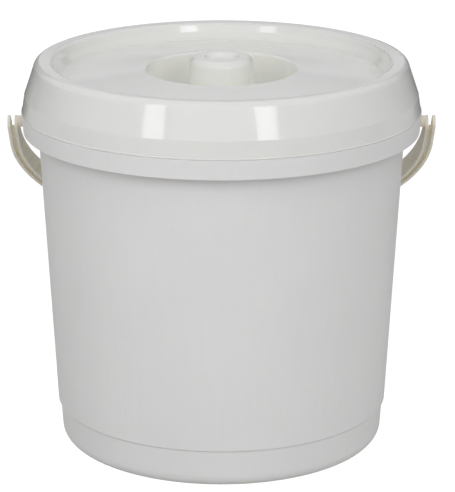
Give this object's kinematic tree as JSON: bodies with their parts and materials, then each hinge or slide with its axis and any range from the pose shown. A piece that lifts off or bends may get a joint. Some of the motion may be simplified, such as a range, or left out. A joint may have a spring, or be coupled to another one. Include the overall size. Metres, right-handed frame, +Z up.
{
  "type": "fermenting bucket",
  "caption": "Tapered plastic fermenting bucket with an overhanging collar, a domed lift-off lid with a knob in a finger well, and a bail handle that swings in the collar.",
  "frame": {"origin": "middle of the base, on the surface that the bucket stands on", "axes": "+Z up, X along the handle's hinge line, +Y towards the side where the handle hangs at rest"},
  "size_m": [0.3418, 0.3192, 0.3158],
  "materials": {
    "pail_plastic": "satin moulded polypropylene, cool off-white",
    "lid_plastic": "glossy moulded polypropylene, warm off-white",
    "handle_plastic": "satin translucent moulded plastic, ivory"
  },
  "bodies": {
    "pail": {"bucket_body": "pail_plastic"},
    "lid": {"lid": "lid_plastic"},
    "handle": {"bail_handle": "handle_plastic"}
  },
  "joints": [
    {"name": "handle_swing", "type": "hinge", "parent": "pail", "child": "handle", "pos_m": [0, 0, 0.2625], "axis": [1, 0, 0], "range_deg": [0, 259]},
    {"name": "lid_lift", "type": "slide", "parent": "pail", "child": "lid", "axis": [0, 0, 1], "range_m": [0, 0.12]}
  ]
}
